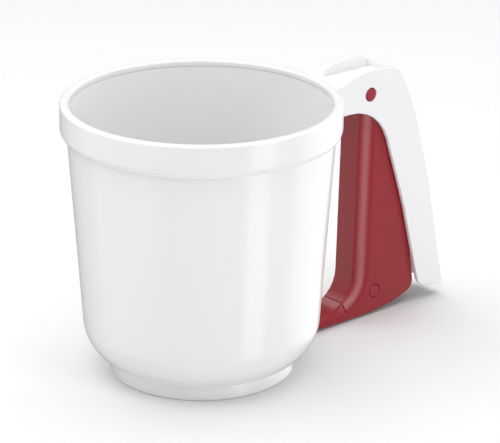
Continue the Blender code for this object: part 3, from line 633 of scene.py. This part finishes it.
for name, node, angle in (
    ("left_screw", "bridge_screw_left", 35),
    ("right_screw", "bridge_screw_right", 110),
):
    low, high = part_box(node)
    underside = high.z - HEAD_HEIGHT
    profile = [(0, high.z)]
    profile += arc((SCREW_HEAD - HEAD_ROUND, high.z - HEAD_ROUND), HEAD_ROUND, 90, 0, HEAD_STEPS)
    profile += [(SCREW_HEAD, underside), (SCREW_SHANK, underside), (SCREW_SHANK, low.z + HEAD_ROUND)]
    profile += [(SCREW_SHANK - HEAD_ROUND, low.z), (0, low.z)]
    screw = spun(profile, SCREW_STEPS)
    turned = Matrix.Rotation(math.radians(angle), 4, "Z")
    stand = Matrix.Translation((0, (low.y + high.y) / 2, 0)) @ turned
    slot = bmesh.new()
    slot_size = Matrix.Diagonal((SLOT_WIDTH, 3 * SCREW_HEAD, 2 * SLOT_DEPTH, 1))
    bmesh.ops.create_cube(slot, size=1, matrix=Matrix.Translation((0, 0, high.z)) @ slot_size)
    head = milled(screw, slot)
    bmesh.ops.transform(head, matrix=stand, verts=head.verts)
    finished(name, head, STEEL, node, flat=30)

# %% [markdown]
# ## Rod and wires
#
# The rod, the clamp ring, the sweeping loops, the sieve and the spring are all drawn wire, round and
# smooth. Each is a tube along its centre line, and one helper makes them all.

# %% Tubes along a route
TUBE_MERGE = 0.0000001


def tubes(name, routes, radius, sides):
    """Closed round tubes along the routes, as one bmesh. A curve's bevel makes an even number of sides."""
    curve = bpy.data.curves.new(name, "CURVE")
    curve.dimensions = "3D"
    curve.bevel_depth = radius
    curve.bevel_resolution = sides // 2 - 2
    curve.use_fill_caps = True
    for route in routes:
        spline = curve.splines.new("POLY")
        spline.points.add(len(route) - 1)
        for point, place in zip(spline.points, route):
            point.co = (*place, 1)
    maker = bpy.data.objects.new(name, curve)
    bpy.context.scene.collection.objects.link(maker)
    graph = bpy.context.evaluated_depsgraph_get()
    shape = bmesh.new()
    shape.from_mesh(maker.evaluated_get(graph).to_mesh())
    maker.evaluated_get(graph).to_mesh_clear()
    bpy.data.objects.remove(maker)
    bmesh.ops.remove_doubles(shape, verts=shape.verts, dist=TUBE_MERGE)
    bmesh.ops.recalc_face_normals(shape, faces=shape.faces)
    return shape


# %% [markdown]
# ## The rod
#
# The rod runs straight from the link under the cup to the yoke. Its cut ends are rounded a little, as they
# are by tumbling.

# %% The rod
ROD_SIDES = 32
ROD_END = math.radians(60)
ROD_ROUND = 0.0002

rod_low, rod_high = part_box("pull_rod")
rod_radius = (rod_high.z - rod_low.z) / 2
rod_height = (rod_high.z + rod_low.z) / 2
rod = tubes("rod", [[(rod_low.x, 0, rod_height), (rod_high.x, 0, rod_height)]], rod_radius, ROD_SIDES)
ends = [e for e in rod.edges if e.calc_face_angle(0) > ROD_END]
bmesh.ops.bevel(
    rod,
    geom=ends,
    offset=ROD_ROUND,
    offset_type="OFFSET",
    segments=2,
    profile=0.5,
    affect="EDGES",
    material=-1,
)
finished("push_rod", rod, STEEL, "pull_rod", flat=30)

# %% [markdown]
# ## The clamp ring
#
# The sieve is held down by a wire ring that is open on one side, so that it can be sprung in and out of its
# groove for washing.

# %% The clamp ring
CLAMP_OPENING = math.radians(9)
CLAMP_STEPS = 144
WIRE_SIDES = 12

clamp_low, clamp_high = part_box("mesh_clamp")
clamp_wire = (clamp_high.z - clamp_low.z) / 2
clamp_radius = clamp_high.y - clamp_wire
clamp_height = (clamp_high.z + clamp_low.z) / 2
ring = []
for step in range(CLAMP_STEPS + 1):
    angle = CLAMP_OPENING + (math.tau - 2 * CLAMP_OPENING) * step / CLAMP_STEPS
    ring.append((clamp_radius * math.cos(angle), clamp_radius * math.sin(angle), clamp_height))
clamp_tube = tubes("clamp", [ring], clamp_wire, WIRE_SIDES)
finished("clamp_wire", clamp_tube, STEEL, "mesh_clamp", flat=50)

# %% [markdown]
# ## The sweeping loops
#
# Four loops of wire stand round the hub and brush the flour through the sieve. Each is bent from one length:
# out from the hub, along the edge of the sieve and back, with a soft bend at each turn.

# %% The sweeping loops
LOOP_WIRE = 0.0005
LOOP_COUNT = 4
LOOP_BEND = 0.0040
BEND_SHARE = 0.3
BEND_TURN = 0.025
SWEEP_START = 0.09
SWEEP_STEPS = 12
HUB_RADIUS = 0.0080
SPIGOT_WALL = 0.0023
SEAT_INSET = 0.0015
LOOP_CLEARANCE = 0.0009
LOOP_REST_TURN = math.radians(24.03)

hub_reach = HUB_RADIUS + RUNNING_GAP
loop_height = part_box("stirrer_loop_1")[0].z + LOOP_WIRE
loop_reach = base_radius - BASE_LAND - SPIGOT_WALL - SEAT_INSET - LOOP_CLEARANCE
shoulder = loop_reach - BEND_SHARE * LOOP_BEND
span = math.pi / LOOP_COUNT
sweep = span - 2 * SWEEP_START
for index in range(LOOP_COUNT):
    start = math.tau * index / LOOP_COUNT + math.pi / 8 + LOOP_REST_TURN
    marks = [(hub_reach, start), (loop_reach - LOOP_BEND, start), (shoulder, start + BEND_TURN)]
    for step in range(SWEEP_STEPS + 1):
        marks.append((loop_reach, start + SWEEP_START + sweep * step / SWEEP_STEPS))
    marks += [(shoulder, start + span - BEND_TURN)]
    marks += [(loop_reach - LOOP_BEND, start + span), (hub_reach, start + span)]
    route = [(r * math.cos(a), r * math.sin(a), loop_height) for r, a in marks]
    loop = tubes("loop", [route], LOOP_WIRE, WIRE_SIDES)
    finished(f"sweep_wire_{index + 1}", loop, STEEL, f"stirrer_loop_{index + 1}", flat=50)

# %% [markdown]
# ## The sieve
#
# A sieve is woven: each wire goes over one neighbour and under the next. Every wire is a curve that rises
# and falls by half the mesh's thickness, and the wires across are half a step behind the wires along, so
# that they pass on opposite sides wherever they cross. A wire of four sides is enough at this size.

# %% Weave the sieve
PITCH = 0.0015
EDGE_ROOM = 0.0001
SIEVE_SIDES = 4


def weave():
    """Two sets of wavy wires inside the disc of the sieve."""
    low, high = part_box("sieve_mesh")
    reach = high.x - EDGE_ROOM
    wire = (high.z - low.z) / 4
    level = (high.z + low.z) / 2
    count = int(reach / PITCH)
    routes = []
    for line in range(-count, count + 1):
        across = line * PITCH
        half = math.sqrt(max(reach**2 - across**2, 0))
        steps = int(half / PITCH * 2)
        for along_x in (True, False):
            route = []
            for step in range(-steps, steps + 1):
                along = step * PITCH / 2
                phase = math.pi * (along / PITCH + line + (0 if along_x else 1))
                height = level + wire * math.cos(phase)
                route.append((along, across, height) if along_x else (across, along, height))
            if len(route) > 2:
                routes.append(route)
    print("wires", len(routes))
    return tubes("weave", routes, wire, SIEVE_SIDES)


finished("woven_disc", weave(), WEAVE_STEEL, "sieve_mesh", flat=80)

# %% [markdown]
# ## The return spring
#
# A coil spring sits between two posts, one on the handle's spine and one on the trigger, and gets shorter as
# the trigger is squeezed. The coil is given a mesh of its own.

# %% Coil the spring
SPRING_RADIUS = 0.0044
SPRING_WIRE = 0.0005
SPRING_TURNS = 7
STEPS_PER_TURN = 28
SPRING_SIDES = 10

spring_low, spring_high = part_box("return_spring")
coil_start = spring_low.x + SPRING_WIRE
coil_end = spring_high.x - SPRING_WIRE
coil_height = (spring_low.z + spring_high.z) / 2
coil_steps = SPRING_TURNS * STEPS_PER_TURN
coil = []
for step in range(coil_steps + 1):
    share = step / coil_steps
    angle = math.tau * SPRING_TURNS * share
    along = coil_start + (coil_end - coil_start) * share
    coil.append((along, SPRING_RADIUS * math.sin(angle), coil_height + SPRING_RADIUS * math.cos(angle)))
coil_tube = tubes("coil", [coil], SPRING_WIRE, SPRING_SIDES)
spring = finished("coil_spring", coil_tube, STEEL, "return_spring", flat=70)
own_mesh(spring)
